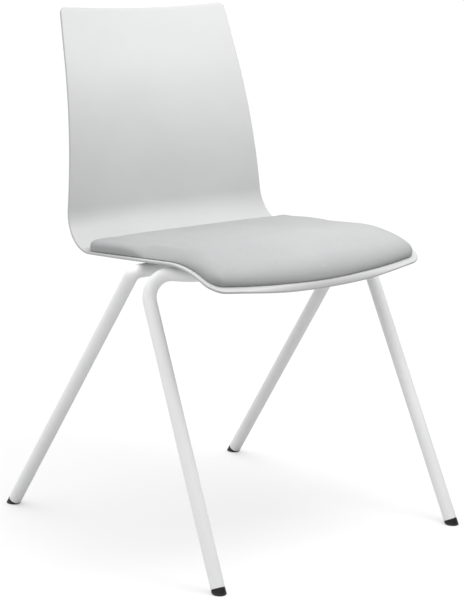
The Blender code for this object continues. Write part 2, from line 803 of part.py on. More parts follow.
def build():
    clear_scene()
    front_leg_tube()
    rear_leg_tube()
    pockets = []
    pad_holes = []
    for side_name, side in (("right", -1), ("left", 1)):
        glide(f"glide_front_{side_name}", FRONT_FOOT, FRONT_LEG_RISE, FRONT_GLIDE_LENGTH, side)
        glide(f"glide_rear_{side_name}", REAR_FOOT, REAR_LEG_RISE, REAR_GLIDE_LENGTH, side)
        seat_rail(f"seat_rail_{side_name}", side)
        for end, y, pad_y in (("front", SCREW_FRONT_Y, PAD_SCREW_FRONT_Y),
                              ("rear", SCREW_REAR_Y, PAD_SCREW_REAR_Y)):
            place = f"{end}_{side_name}"
            x = RAIL_X * side
            shell_screw(f"shell_screw_{place}", x, y)
            washer(f"screw_washer_{place}", x, y)
            thread_insert(f"thread_insert_{place}", x, y)
            pockets.append(insert_pocket(f"insert_pocket_{place}_cut", x, y))
            x = PAD_SCREW_X * side
            pad_screw(f"pad_screw_{place}", x, pad_y)
            pad_holes.append(pad_screw_hole(f"pad_hole_{place}_cut", x, pad_y))
        stacking_bumper(f"stacking_bumper_front_{side_name}", BUMPER_X * side, FRONT_RUN_Y,
                        FRONT_RUN_Z)
        stacking_bumper(f"stacking_bumper_rear_{side_name}", BUMPER_X * side, rear_run_y(),
                        REAR_RUN_Z)
    seat_shell(pockets + pad_holes)
    pad_board(pad_holes)
    pad_foam()
    pad_cover()


build()
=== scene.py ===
import math

import bmesh
import bpy
import numpy as np
from mathutils import Matrix, Vector

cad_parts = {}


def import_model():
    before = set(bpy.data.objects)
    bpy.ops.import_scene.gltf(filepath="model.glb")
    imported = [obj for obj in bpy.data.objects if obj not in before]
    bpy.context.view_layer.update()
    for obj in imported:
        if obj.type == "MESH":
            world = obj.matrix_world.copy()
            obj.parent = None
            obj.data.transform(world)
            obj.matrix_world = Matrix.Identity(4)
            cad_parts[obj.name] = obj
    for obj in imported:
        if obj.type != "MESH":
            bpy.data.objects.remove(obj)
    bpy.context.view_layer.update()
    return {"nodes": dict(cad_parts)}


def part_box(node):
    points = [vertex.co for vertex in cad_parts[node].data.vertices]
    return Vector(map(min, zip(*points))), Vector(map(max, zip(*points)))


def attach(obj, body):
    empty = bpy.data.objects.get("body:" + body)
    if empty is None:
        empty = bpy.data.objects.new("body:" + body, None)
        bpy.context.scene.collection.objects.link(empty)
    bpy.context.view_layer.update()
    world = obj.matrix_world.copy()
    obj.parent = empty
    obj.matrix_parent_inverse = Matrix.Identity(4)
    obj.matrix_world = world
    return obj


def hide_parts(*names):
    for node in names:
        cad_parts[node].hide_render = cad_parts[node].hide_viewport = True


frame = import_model()

# Looks of the stacking chair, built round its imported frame: metres, +Z up, the sitter faces -Y.
# The driving dimensions below are the design's own, so that each fine surface lies on its solid.

GAP = 0.0003
LAYER_GAP = 0.0006
CURVED_GAP = 0.0014

TUBE_RADIUS = 0.011
TUBE_WALL = 0.002
FRONT_FOOT = Vector((0.252, -0.2856, 0.0))
FRONT_LEG_RISE = Vector((-0.044, 0.456, 1.0))
REAR_FOOT = Vector((0.249, 0.2844, 0.0))
REAR_LEG_RISE = Vector((-0.042, -0.736, 1.0))
FRONT_RUN_Z = 0.4580
FRONT_RUN_Y = -0.150
REAR_RUN_Z = 0.4546
FRONT_RUN_HEADING = math.radians(31.0)
FRONT_BEND_RADIUS = 0.035
FRONT_CORNER_RADIUS = 0.040
REAR_BEND_RADIUS = 0.0125
FRONT_GLIDE_LENGTH = 0.0085
REAR_GLIDE_LENGTH = 0.0105
GLIDE_STEM_LENGTH = 0.018

SHELL_THICKNESS = 0.0045
SHELL_TOP_Y = 0.2236
SHELL_TOP_Z = 0.8518
SHELL_TOP_HEADING = -106.3
SHELL_RUNS = (                  # (length, turn in degrees) from the back's top to the front lip
    (0.092, 0.0),
    (0.240, 15.2),
    (0.108, -92.2),
    (0.212, 0.0),
    (0.1245, 37.3),
    (0.0100, 48.0),
    (0.0026, 0.0),
)
SHELL_LENGTH = sum(length for length, _ in SHELL_RUNS)
SHELL_STEPS = (18, 40, 40, 30, 34, 14, 3)
BACK_HALF_WIDTH = 0.1737
BACK_TAPER = 0.101
SEAT_HALF_WIDTH = 0.2225
WIDTH_BLEND = 0.014
BACK_WRAP = 0.011
BACK_WRAP_TOP = 0.006
TOP_EDGE_DIP = 0.0045
TOP_CORNER_RADIUS = 0.011
FRONT_BULGE = 0.0202
FRONT_CORNER = 0.0248
END_BLEND = 0.11
RIM_RADIUS = 0.0019             # rounding of the shell's edge

PAD_HALF_WIDTH = 0.2146
PAD_REAR_S = 0.422
PAD_FRONT_MARGIN = 0.0060
PAD_BULGE = 0.0157
PAD_CORNER = 0.024
PAD_REAR_CORNER = 0.030
PAD_HEIGHT = 0.0185
PAD_CROWN = 0.0020
PAD_SEAT_GAP = 0.0004
PAD_EDGE = 0.0060               # height of the pad's side, and how much of it is drawn down
PAD_EDGE_DRAWN = 0.0048
PAD_EDGE_FADE = 0.8             # share of the side's height given up towards the front
PAD_EDGE_FADE_START = 0.2
PAD_EDGE_FADE_SPAN = 0.6
SIDE_ROLL = 0.019               # width of each rounding of the pad, and the power of its curve
SIDE_ROLL_POWER = 2.3
DRAWN_ROLL = 0.027
DRAWN_ROLL_POWER = 1.2
FRONT_ROLL = 0.034
FRONT_ROLL_POWER = 1.7
REAR_ROLL = 0.027
REAR_ROLL_POWER = 2.1
HELD_LIFT = 0.0025              # the cover is held below this height above the shell
FREE_LIFT = 0.0120              # and free this much higher
SWELL_PRESSURE = 4.0
SWELL_CAP = 0.0025
CLOTH_FRAMES = 20
COVER_THICKNESS = 0.0012
BOARD_THICKNESS = 0.003
DRAWN_START = -0.42             # shares of the half-length between which the sides draw down
DRAWN_END = -0.05
DRAWN_EASE = 0.60               # how much of that is given up again towards the front
DRAWN_EASE_START = 0.30
DRAWN_EASE_END = 0.85

RAIL_X = 0.105
RAIL_WIDTH = 0.028
RAIL_THICKNESS = 0.003
RAIL_END = 0.010
RAIL_REAR_Y = 0.072
RAIL_FRONT_Y = -0.168
SCREW_Y = {"front": -0.1015, "rear": 0.045}
PAD_SCREW_X = 0.165
PAD_SCREW_Y = {"front": -0.110, "rear": 0.050}
INSERT_RADIUS = 0.0042
INSERT_HEIGHT = 0.0030
SCREW_SHANK_RADIUS = 0.0023
PAD_SCREW_SHANK_RADIUS = 0.0016
WASHER_THICKNESS = 0.0010
WELD_RADIUS = 0.0019
WELD_OFFSET = 0.0062            # from a cross run's middle to the crevice beside it
WELD_DROP = 0.0016
WELD_END_GAP = 0.002
BUMPER_ROUND = 0.0025
BUMPER_GROOVE_RADIUS = 0.0010
BUMPER_GROOVE_SPACING = 0.0065

SIDES = (("right", -1), ("left", 1))

# ---------------------------------------------------------------- materials


class Surface:
    """One procedural material: a Principled shader fed by noise in metres."""

    def __init__(self, name, **sockets):
        self.material = bpy.data.materials.new(name)
        self.material.use_nodes = True
        self.tree = self.material.node_tree
        self.shader = self.tree.nodes["Principled BSDF"]
        for socket, value in sockets.items():
            self.shader.inputs[socket.replace("_", " ")].default_value = value
        self.place = self.node("ShaderNodeTexCoord").outputs["Object"]

    def node(self, kind, inputs=None, **settings):
        made = self.tree.nodes.new(kind)
        for key, value in settings.items():
            setattr(made, key, value)
        for key, value in (inputs or {}).items():
            if isinstance(value, bpy.types.NodeSocket):
                self.tree.links.new(value, made.inputs[key])
            else:
                made.inputs[key].default_value = value
        return made

    def noise(self, scale, detail=2.0, stretch=None):
        """Noise with this many features in a metre, drawn out along an axis where stretch is small."""
        place = self.place
        if stretch is not None:
            place = self.math_vector("MULTIPLY", place, stretch)
        made = self.node("ShaderNodeTexNoise", {"Vector": place, "Scale": scale, "Detail": detail})
        return made.outputs["Fac"]

    def cells(self, scale, feature="F1"):
        made = self.node("ShaderNodeTexVoronoi", {"Vector": self.place, "Scale": scale},
                         feature=feature)
        return made.outputs["Distance"]

    def math(self, operation, a, b=0.0, clamp=False):
        made = self.node("ShaderNodeMath", {0: a, 1: b}, operation=operation, use_clamp=clamp)
        return made.outputs[0]

    def math_vector(self, operation, a, b):
        made = self.node("ShaderNodeVectorMath", {0: a, 1: b}, operation=operation)
        return made.outputs[0]

    def remap(self, value, low, high, to_low, to_high):
        made = self.node("ShaderNodeMapRange", {"Value": value, "From Min": low, "From Max": high,
                                                "To Min": to_low, "To Max": to_high})
        return made.outputs[0]

    def mix(self, share, first, second):
        """Blend two colours, each a socket or three numbers."""
        made = self.node("ShaderNodeMix", {0: share}, data_type="RGBA")
        for index, colour in ((6, first), (7, second)):
            if isinstance(colour, bpy.types.NodeSocket):
                self.tree.links.new(colour, made.inputs[index])
            else:
                made.inputs[index].default_value = (*colour, 1.0)
        return made.outputs[2]

    def edges(self, low, high):
        """1 on outer edges and 0 on flat ground."""
        pointiness = self.node("ShaderNodeNewGeometry").outputs["Pointiness"]
        return self.remap(pointiness, low, high, 0.0, 1.0)

    def bump(self, height, depth, below=None):
        inputs = {"Height": height, "Distance": depth, "Strength": 1.0}
        if below is not None:
            inputs["Normal"] = below
        return self.node("ShaderNodeBump", inputs).outputs["Normal"]

    def finish(self, colour=None, roughness=None, normal=None):
        for socket, value in (("Base Color", colour), ("Roughness", roughness), ("Normal", normal)):
            if value is not None:
                self.tree.links.new(value, self.shader.inputs[socket])
        return self.material


def shell_plastic():
    """Satin moulded polypropylene with a spark-eroded grain, faint handling scuffs, and outer edges
    lightened partly by wear and partly by a painted highlight.
    """
    s = Surface("shell_plastic_grained", Specular_IOR_Level=0.42)
    cloudy = s.remap(s.noise(7.0, 3.0), 0.3, 0.7, 0.0, 1.0)
    # The base grey is darker than the shell's own pale colour, to offset the strong light falling on
    # it: painted shade over the whole shell.
    colour = s.mix(cloudy, (0.478, 0.480, 0.484), (0.500, 0.502, 0.505))
    speck = s.remap(s.noise(900.0, 1.0), 0.62, 0.75, 0.0, 0.35)
    colour = s.mix(speck, colour, (0.465, 0.467, 0.471))
    scuffs = s.noise(55.0, 4.0, (1.0, 0.22, 0.9))
    # Outer edges: lighter colour, partly wear and partly a painted highlight along the lit rim; also a
    # little smoother from wear.
    wear_and_edge_highlight = s.math("MULTIPLY", s.edges(0.52, 0.60), s.remap(s.noise(30.0), 0.35, 0.65, 0.2, 1.0))
    colour = s.mix(s.math("MULTIPLY", wear_and_edge_highlight, 0.35), colour, (0.60, 0.60, 0.60))
    roughness = s.remap(scuffs, 0.3, 0.75, 0.46, 0.34)
    roughness = s.math("SUBTRACT", roughness, s.math("MULTIPLY", wear_and_edge_highlight, 0.06))
    sink = s.bump(s.noise(9.0, 1.0), 0.0006)
    grain = s.bump(s.noise(1300.0, 3.0), 0.00006, sink)
    return s.finish(colour, roughness, grain)


def powder_coat():
    """Smooth powder coat on steel: orange peel and fine flecks."""
    s = Surface("frame_powder_coat", Specular_IOR_Level=0.45)
    cloudy = s.remap(s.noise(12.0, 2.0), 0.3, 0.7, 0.0, 1.0)
    # The near-white is paler than the frame's own colour, to make up for the shade under the seat:
    # painted light.
    colour = s.mix(cloudy, (0.880, 0.883, 0.888), (0.905, 0.907, 0.911))
    fleck = s.remap(s.noise(2200.0, 0.0), 0.60, 0.72, 0.0, 0.30)
    colour = s.mix(fleck, colour, (0.92, 0.922, 0.925))
    roughness = s.remap(s.noise(90.0, 3.0), 0.3, 0.7, 0.36, 0.46)
    peel = s.bump(s.noise(420.0, 1.0), 0.00010)
    fine = s.bump(s.noise(1700.0, 2.0), 0.00003, peel)
    return s.finish(colour, roughness, fine)


def pad_leather():
    """Matt pale artificial leather: pebbled grain over soft creases, polished where it is sat on."""
    s = Surface("pad_artificial_leather", Specular_IOR_Level=0.30, Sheen_Weight=0.06,
                Sheen_Roughness=0.6)
    pebbles = s.cells(620.0, "SMOOTH_F1")
    wrinkles = s.noise(380.0, 4.0)
    grain = s.math("ADD", s.math("MULTIPLY", pebbles, 0.7), s.math("MULTIPLY", wrinkles, 0.6))
    cloudy = s.remap(s.noise(9.0, 3.0), 0.3, 0.7, 0.0, 1.0)
    colour = s.mix(cloudy, (0.326, 0.329, 0.332), (0.349, 0.351, 0.354))
    # The grain's low points are darkened: painted shade in the pits.
    pit_shade = s.remap(grain, 0.35, 0.62, 0.32, 0.0)
    colour = s.mix(pit_shade, colour, (0.282, 0.285, 0.288))
    tint = s.remap(s.noise(140.0, 2.0), 0.4, 0.7, 0.0, 0.25)
    colour = s.mix(tint, colour, (0.361, 0.363, 0.364))
    sat_on = s.remap(s.noise(5.0, 1.0), 0.35, 0.65, 0.60, 0.50)
    roughness = s.math("ADD", sat_on, s.remap(grain, 0.3, 0.7, 0.08, -0.03))
    creases = s.bump(s.noise(30.0, 2.0, (1.0, 0.5, 1.0)), 0.0007)
    pebbled = s.bump(grain, 0.00014, creases)
    return s.finish(colour, roughness, pebbled)


def foam_sponge():
    """Open-cell moulded foam."""
    s = Surface("pad_foam_sponge", Specular_IOR_Level=0.1)
    cells = s.cells(900.0)
    # Darker in the cells' hollows, where the bump is lowest: painted shade.
    colour = s.mix(s.remap(cells, 0.1, 0.7, 0.0, 1.0), (0.62, 0.53, 0.34), (0.80, 0.74, 0.55))
    roughness = s.remap(s.noise(200.0), 0.3, 0.7, 0.90, 1.0)
    return s.finish(colour, roughness, s.bump(cells, 0.0004))


def board_plastic():
    """Pressed fibre-filled plastic carrier."""
    s = Surface("pad_board_fibre", Specular_IOR_Level=0.3)
    fibre = s.noise(500.0, 3.0, (1.0, 0.18, 1.0))
    colour = s.mix(s.remap(fibre, 0.35, 0.7, 0.0, 1.0), (0.030, 0.030, 0.033), (0.075, 0.074, 0.074))
    roughness = s.remap(s.noise(120.0), 0.3, 0.7, 0.55, 0.75)
    return s.finish(colour, roughness, s.bump(fibre, 0.0001))


def glide_nylon():
    """Black nylon, greyed by dust and scuffs where it meets the floor."""
    s = Surface("glide_black_nylon", Specular_IOR_Level=0.4)
    height = s.node("ShaderNodeSeparateXYZ", {0: s.place}).outputs[2]
    low = s.remap(height, 0.0, 0.005, 1.0, 0.0)
    scratch = s.remap(s.noise(300.0, 3.0, (1.0, 1.0, 0.3)), 0.45, 0.70, 0.0, 1.0)
    dusty = s.math("MULTIPLY", low, s.math("ADD", s.math("MULTIPLY", scratch, 0.6), 0.25))
    colour = s.mix(dusty, (0.014, 0.014, 0.015), (0.11, 0.108, 0.104))
    roughness = s.remap(scratch, 0.0, 1.0, 0.38, 0.62)
    return s.finish(colour, roughness, s.bump(s.noise(1100.0, 2.0), 0.00005))


def bumper_rubber():
    """Dark grey soft-touch plastic, polished a little where stacked chairs rub."""
    s = Surface("bumper_soft_plastic", Specular_IOR_Level=0.35)
    rubbed = s.math("MULTIPLY", s.edges(0.52, 0.62), s.remap(s.noise(120.0), 0.4, 0.6, 0.0, 1.0))
    colour = s.mix(s.noise(60.0, 3.0), (0.045, 0.046, 0.048), (0.062, 0.063, 0.065))
    colour = s.mix(s.math("MULTIPLY", rubbed, 0.6), colour, (0.13, 0.13, 0.13))
    roughness = s.remap(s.noise(150.0, 2.0), 0.3, 0.7, 0.50, 0.68)
    return s.finish(colour, roughness, s.bump(s.noise(1500.0, 2.0), 0.00006))


def zinc_plate():
    """Bright zinc plating with drawn-wire streaks and faint passivation clouds."""
    s = Surface("zinc_plated_steel", Metallic=1.0)
    clouds = s.remap(s.noise(350.0, 3.0), 0.3, 0.7, 0.0, 1.0)
    colour = s.mix(clouds, (0.56, 0.58, 0.62), (0.70, 0.69, 0.66))
    roughness = s.remap(s.noise(900.0, 3.0, (1.0, 1.0, 0.15)), 0.3, 0.7, 0.24, 0.44)
    return s.finish(colour, roughness, s.bump(s.noise(1600.0, 2.0), 0.00002))


def brass():
    s = Surface("insert_turned_brass", Metallic=1.0)
    clouds = s.remap(s.noise(500.0, 3.0), 0.3, 0.7, 0.0, 1.0)
    colour = s.mix(clouds, (0.70, 0.51, 0.22), (0.80, 0.62, 0.31))
    roughness = s.remap(s.noise(1200.0, 2.0, (0.1, 0.1, 1.0)), 0.3, 0.7, 0.22, 0.42)
    return s.finish(colour, roughness, s.bump(s.noise(2500.0, 1.0), 0.00002))


def weld_metal():
    """A painted-over weld: the powder coat lies thicker and shinier on the ripples."""
    s = Surface("weld_powder_coat", Specular_IOR_Level=0.5)
    colour = s.mix(s.noise(300.0, 3.0), (0.80, 0.805, 0.81), (0.86, 0.865, 0.87))
    roughness = s.remap(s.noise(500.0, 2.0), 0.3, 0.7, 0.30, 0.44)
    return s.finish(colour, roughness, s.bump(s.noise(800.0, 3.0), 0.00012))


# ---------------------------------------------------------------- mesh helpers


def add_piece(name, mesh, material, replaces=()):
    """Shade a finished mesh, put it on the frame and hide the CAD nodes it replaces."""
    mesh.shade_smooth()
    mesh.set_sharp_from_angle(angle=math.radians(38.0))
    mesh.materials.clear()
    mesh.materials.append(material)
    obj = bpy.data.objects.new(name, mesh)
    bpy.context.scene.collection.objects.link(obj)
    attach(obj, "root")
    if replaces:
        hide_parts(*replaces)
    return obj


def merged_mesh(name, verts, faces):
    """A mesh with coincident points joined and its faces turned outwards."""
    mesh = bpy.data.meshes.new(name)
    mesh.from_pydata([tuple(v) for v in verts], [], faces)
    bm = bmesh.new()
    bm.from_mesh(mesh)
    bmesh.ops.remove_doubles(bm, verts=bm.verts[:], dist=1e-6)
    bmesh.ops.recalc_face_normals(bm, faces=bm.faces[:])
    bm.to_mesh(mesh)
    bm.free()
    return mesh


def grid_faces(rows, columns, start=0, closed=False):
    faces = []
    for i in range(rows - 1):
        for j in range(columns if closed else columns - 1):
            a = start + i * columns + j
            b = start + i * columns + (j + 1) % columns
            faces.append((a, b, b + columns, a + columns))
    return faces


def capped_loft(rings):
    """Rings joined in order, with the first and last filled."""
    count = len(rings[0])
    verts = [point for ring in rings for point in ring]
    faces = grid_faces(len(rings), count, closed=True)
    last = len(verts) - count
    return verts, faces + [tuple(range(count))[::-1], tuple(range(last, last + count))]


def lathe(name, profile, matrix, steps=48, shape=None):
    """Spin an (r, z) outline round Z. It runs from axis to axis, or closes on itself as a ring.

    shape(index, r, angle) may change a point's radius as it goes round."""
    is_ring = profile[0][0] > 0.0
    columns = []
    for k in range(steps):
        angle = 2.0 * math.pi * k / steps
        column = []
        for index, (r, z) in enumerate(profile):
            radius = shape(index, r, angle) if shape and r > 0.0 else r
            point = Vector((radius * math.cos(angle), radius * math.sin(angle), z))
            column.append(matrix @ point)
        columns.append(column + column[:1] if is_ring else column)
    columns.append(columns[0])
    verts = [point for column in columns for point in column]
    return merged_mesh(name, verts, grid_faces(len(columns), len(columns[0])))


def baked(mesh, thickness=None, bevel=None, cutters=()):
    """The mesh after a Solidify, a Bevel and Boolean cuts."""
    obj = bpy.data.objects.new("work", mesh)
    bpy.context.scene.collection.objects.link(obj)
    if thickness:
        modifier = obj.modifiers.new("thickness", "SOLIDIFY")
        modifier.thickness = thickness
        modifier.offset = -1.0
        modifier.use_even_offset = True
    if bevel:
        modifier = obj.modifiers.new("bevel", "BEVEL")
        modifier.width = bevel
        modifier.segments = 3
        modifier.limit_method = "ANGLE"
        modifier.angle_limit = math.radians(40.0)
    helpers = []
    for cutter in cutters:
        helper = bpy.data.objects.new("cutter", cutter)
        bpy.context.scene.collection.objects.link(helper)
        helpers.append(helper)
        modifier = obj.modifiers.new("cut", "BOOLEAN")
        modifier.operation = "DIFFERENCE"
        modifier.object = helper
    graph = bpy.context.evaluated_depsgraph_get()
    result = bpy.data.meshes.new_from_object(obj.evaluated_get(graph))
    for helper in helpers + [obj]:
        bpy.data.objects.remove(helper)
    return result


def cylinder_mesh(radius, length, matrix, segments=48):
    bm = bmesh.new()
    bmesh.ops.create_cone(bm, cap_ends=True, segments=segments,
                          radius1=radius, radius2=radius, depth=length, matrix=matrix)
    mesh = bpy.data.meshes.new("cutter")
    bm.to_mesh(mesh)
    bm.free()
    return mesh


# ---------------------------------------------------------------- shell surface


def shell_line(s):
    """(y, z, heading) on the shell's outer line, at the distance s from its top."""
    y, z = SHELL_TOP_Y, SHELL_TOP_Z
    heading = math.radians(SHELL_TOP_HEADING)
    left = max(s, 0.0)
    for index, (length, turn) in enumerate(SHELL_RUNS):
        last = index == len(SHELL_RUNS) - 1
        step = left if last else min(left, length)
        bend = math.radians(turn) / length
        if bend == 0.0:
            y += math.cos(heading) * step
            z += math.sin(heading) * step
        else:
            y += (math.sin(heading + bend * step) - math.sin(heading)) / bend
            z -= (math.cos(heading + bend * step) - math.cos(heading)) / bend
        heading += bend * step
        left -= step
        if left <= 0.0:
            break
    return y, z, heading


def seat_distance(y):
    """The distance s at which the seat's outer line passes y, found by halving."""
    low = sum(length for length, _ in SHELL_RUNS[:3])
    high = SHELL_LENGTH
    for _ in range(40):
        middle = (low + high) / 2.0
        if shell_line(middle)[0] > y:
            low = middle
        else:
            high = middle
    return low


def smooth_step(t):
    t = min(max(t, 0.0), 1.0)
    return t * t * (3.0 - 2.0 * t)


def shell_half_width(s):
    taper = BACK_HALF_WIDTH + BACK_TAPER * s
    blend = max(WIDTH_BLEND - abs(taper - SEAT_HALF_WIDTH), 0.0) / WIDTH_BLEND
    return min(taper, SEAT_HALF_WIDTH) - blend * blend * WIDTH_BLEND / 4.0


def shell_wrap(s):
    bend_start = SHELL_RUNS[0][0] + SHELL_RUNS[1][0]
    bend_end = bend_start + SHELL_RUNS[2][0]
    rising = BACK_WRAP_TOP + (BACK_WRAP - BACK_WRAP_TOP) * smooth_step(s / bend_start)
    return rising * (1.0 - smooth_step((s - bend_start * 0.85) / (bend_end - bend_start * 0.85)))


def shell_point(x, s, lift=0.0):
    """A point of the shell at x across and s along, lifted towards the sitter."""
    y, z, heading = shell_line(s)
    share = x / shell_half_width(s)
    lift -= shell_wrap(s) * (1.0 - share * share)
    return Vector((x, y + math.sin(heading) * lift, z - math.cos(heading) * lift))


def corner_drop(x, half_width, radius):
    over = max(abs(x) - (half_width - radius), 0.0)
    return radius - math.sqrt(max(radius * radius - over * over, 0.0))


def shell_start(u):
    corner = corner_drop(u * BACK_HALF_WIDTH, BACK_HALF_WIDTH, TOP_CORNER_RADIUS)
    return TOP_EDGE_DIP * (1.0 - u * u) + corner


def shell_end(u):
    bulge = FRONT_BULGE * abs(u) ** 2.2
    return SHELL_LENGTH - bulge - corner_drop(u * SEAT_HALF_WIDTH, SEAT_HALF_WIDTH, FRONT_CORNER)


def shell_sheet_point(u, s, inset, lift):
    """A point at share u across and s along the shell, its outline pulled in by inset."""
    s = inset + s * (SHELL_LENGTH - 2.0 * inset) / SHELL_LENGTH
    near_top = max(1.0 - s / END_BLEND, 0.0)
    near_front = max(1.0 - (SHELL_LENGTH - s) / END_BLEND, 0.0)
    at = s + shell_start(u) * near_top + (shell_end(u) - SHELL_LENGTH) * near_front
    return shell_point(u * (shell_half_width(at) - inset), at, lift)


def rounded_shares(flat_end, inner_steps, outer_steps):
    """Shares from -1 to 1, closer together round the corners."""
    inner = [flat_end * k / inner_steps for k in range(-inner_steps, inner_steps + 1)]
    outer = [flat_end + (1.0 - flat_end) * math.sin(math.pi / 2.0 * k / outer_steps)
             for k in range(1, outer_steps + 1)]
    return [-u for u in reversed(outer)] + inner + outer


def slab(name, point, columns, rows, profile):
    """A closed sheet: a grid below, a rim through the profile's (inset, lift) pairs, a grid above."""
    edge = [(u, rows[0]) for u in columns]
    edge += [(columns[-1], s) for s in rows[1:]]
    edge += [(u, rows[-1]) for u in reversed(columns[:-1])]
    edge += [(columns[0], s) for s in reversed(rows[1:-1])]
    verts = [point(u, s, inset, lift) for inset, lift in profile for u, s in edge]
    faces = grid_faces(len(profile), len(edge), closed=True)
    for inset, lift in (profile[0], profile[-1]):
        faces += grid_faces(len(rows), len(columns), start=len(verts))
        verts += [point(u, s, inset, lift) for s in rows for u in columns]
    return merged_mesh(name, verts, faces)


def rim_profile(radius, thickness, steps):
    """(inset, lift) pairs round a sheet's edge, from its lower face to its upper face."""
    quarter = [(radius * (1.0 - math.sin(k)), radius * (1.0 - math.cos(k)))
               for k in (math.pi / 2.0 * i / steps for i in range(steps + 1))]
    return quarter + [(inset, thickness - lift) for inset, lift in reversed(quarter)]


def under_seat(x, y, drop=0.0):
    """A frame under the seat at x, y: its Z is square to the shell, its origin drop below it."""
    s = seat_distance(y)
    tilt = math.pi + shell_line(s)[2]
    return Matrix.Translation(shell_point(x, s, -drop)) @ Matrix.Rotation(tilt, 4, "X")


def shell_piece():
    """The moulded shell, with the pockets and holes of its fixings."""
    columns = rounded_shares(1.0 - FRONT_CORNER / SEAT_HALF_WIDTH, 22, 10)
    rows = []
    start = 0.0
    for (length, _), steps in zip(SHELL_RUNS, SHELL_STEPS):
        rows += [start + length * k / steps for k in range(steps)]
        start += length
    rows.append(start)
    mesh = slab("shell_moulding", shell_sheet_point, columns, rows,
                rim_profile(RIM_RADIUS, SHELL_THICKNESS, 4))
    cutters = []
    for _, side in SIDES:
        for end in SCREW_Y:
            pocket = INSERT_HEIGHT + GAP
            matrix = under_seat(RAIL_X * side, SCREW_Y[end])
            matrix = matrix @ Matrix.Translation((0, 0, pocket / 2.0 - 0.001))
            cutters.append(cylinder_mesh(INSERT_RADIUS + GAP, pocket + 0.002, matrix))
            matrix = under_seat(PAD_SCREW_X * side, PAD_SCREW_Y[end])
            cutters.append(cylinder_mesh(PAD_SCREW_SHANK_RADIUS + GAP, 0.016, matrix, 24))
    add_piece("shell_moulding", baked(mesh, cutters=cutters), shell_plastic(),
              ("seat_shell",))


# ---------------------------------------------------------------- pad


def pad_half_length():
    front = SHELL_LENGTH - PAD_FRONT_MARGIN - FRONT_BULGE
    return (front - PAD_REAR_S) / 2.0


def pad_half_width(b):
    radius = PAD_CORNER if b > 0.0 else PAD_REAR_CORNER
    return PAD_HALF_WIDTH - corner_drop(b * pad_half_length(), pad_half_length(), radius)


def soft_roll(distance, width, power):
    """0 at an edge, rising to 1 at width from it: round for a power of 2, flatter towards 1."""
    share = min(max(distance / width, 0.0), 1.0)
    return (1.0 - (1.0 - share) ** power) ** (1.0 / power)


def side_draw(b):
    """How far the pad's sides are drawn down: not at the rear, fully in the middle, less ahead."""
    drawn = min(max((b - DRAWN_START) / (DRAWN_END - DRAWN_START), 0.0), 1.0) ** 2
    eased = smooth_step((b - DRAWN_EASE_START) / (DRAWN_EASE_END - DRAWN_EASE_START))
    return drawn * (1.0 - DRAWN_EASE * eased)


def pad_edge_height(b):
    """Height of the pad's side where it leaves the shell."""
    fade = PAD_EDGE_FADE * smooth_step((b - PAD_EDGE_FADE_START) / PAD_EDGE_FADE_SPAN)
    return (PAD_EDGE - PAD_EDGE_DRAWN * side_draw(b)) * (1.0 - fade)


def pad_top_height(a, b):
    """Height of the pad's upper face above the shell."""
    half_length = pad_half_length()
    from_side = (1.0 - abs(a)) * pad_half_width(b)
    square = soft_roll(from_side, SIDE_ROLL, SIDE_ROLL_POWER)
    drawn = soft_roll(from_side, DRAWN_ROLL, DRAWN_ROLL_POWER)
    side = square + (drawn - square) * side_draw(b)
    front = soft_roll((1.0 - b) * half_length, FRONT_ROLL, FRONT_ROLL_POWER)
    rear = soft_roll((1.0 + b) * half_length, REAR_ROLL, REAR_ROLL_POWER)
    drop = sum((1.0 - share) ** 4 for share in (side, front, rear)) ** 0.25
    edge = pad_edge_height(b)
    crown = PAD_CROWN * (1.0 - a * a) * (1.0 - b * b)
    return edge + (PAD_HEIGHT - edge) * (1.0 - min(drop, 1.0)) + crown


def pad_surface_point(a, b, inset, level):
    """A point of the pad: on its upper face for a level of 1, else that share up its edge."""
    half_length = pad_half_length()
    height = pad_top_height(a, b) if level >= 1.0 else level * pad_edge_height(b)
    bulge = PAD_BULGE * (1.0 - abs(a) ** 2.2) * max(b, 0.0) ** 2
    s = PAD_REAR_S + half_length + b * (half_length - inset) + bulge
    return shell_point(a * (pad_half_width(b) - inset), s, SHELL_THICKNESS + PAD_SEAT_GAP + height)


def graded_shares(half_span, graded, graded_steps, plain_steps):
    """Shares from -1 to 1 whose spacing shrinks towards both ends."""
    ends = [1.0 - graded * (k / graded_steps) ** 2 / half_span for k in range(graded_steps + 1)]
    inner = ends[-1]
    half = ends[:-1] + [inner * (1.0 - k / plain_steps) for k in range(plain_steps)]
    return [-share for share in half] + [0.0] + half[::-1]


def inflate(obj, lifts, pressure, cap):
    """Swell a closed mesh with cloth pressure: low points stay, high ones move out by up to cap."""
    rest = np.array([v.co for v in obj.data.vertices], float)
    group = obj.vertex_groups.new(name="held")
    group.add([i for i, lift in enumerate(lifts) if lift < HELD_LIFT], 1.0, "REPLACE")
    modifier = obj.modifiers.new("cloth", "CLOTH")
    settings = modifier.settings
    settings.quality = 6
    settings.mass = 0.25
    settings.tension_stiffness = 12.0
    settings.compression_stiffness = 12.0
    settings.shear_stiffness = 5.0
    settings.bending_stiffness = 0.4
    settings.use_pressure = True
    settings.uniform_pressure_force = pressure
    settings.vertex_group_mass = "held"
    settings.effector_weights.gravity = 0.0
    modifier.collision_settings.use_collision = False
    modifier.point_cache.frame_start = 1
    modifier.point_cache.frame_end = CLOTH_FRAMES
    scene = bpy.context.scene
    for step in range(1, CLOTH_FRAMES + 1):
        scene.frame_set(step)
    graph = bpy.context.evaluated_depsgraph_get()
    moved = np.array([v.co for v in obj.evaluated_get(graph).data.vertices], float)
    obj.modifiers.remove(modifier)
    scene.frame_set(1)
    normals = np.array([v.normal for v in obj.data.vertices], float)
    swell = np.maximum(((moved - rest) * normals).sum(axis=1, keepdims=True), 0.0)
    share = np.clip((np.array(lifts) - HELD_LIFT) / FREE_LIFT, 0.0, 1.0)[:, None]
    swelled = rest + normals * share * cap * np.tanh(swell / cap)
    obj.data.vertices.foreach_set("co", swelled.astype(np.float32).ravel())
    obj.data.update()


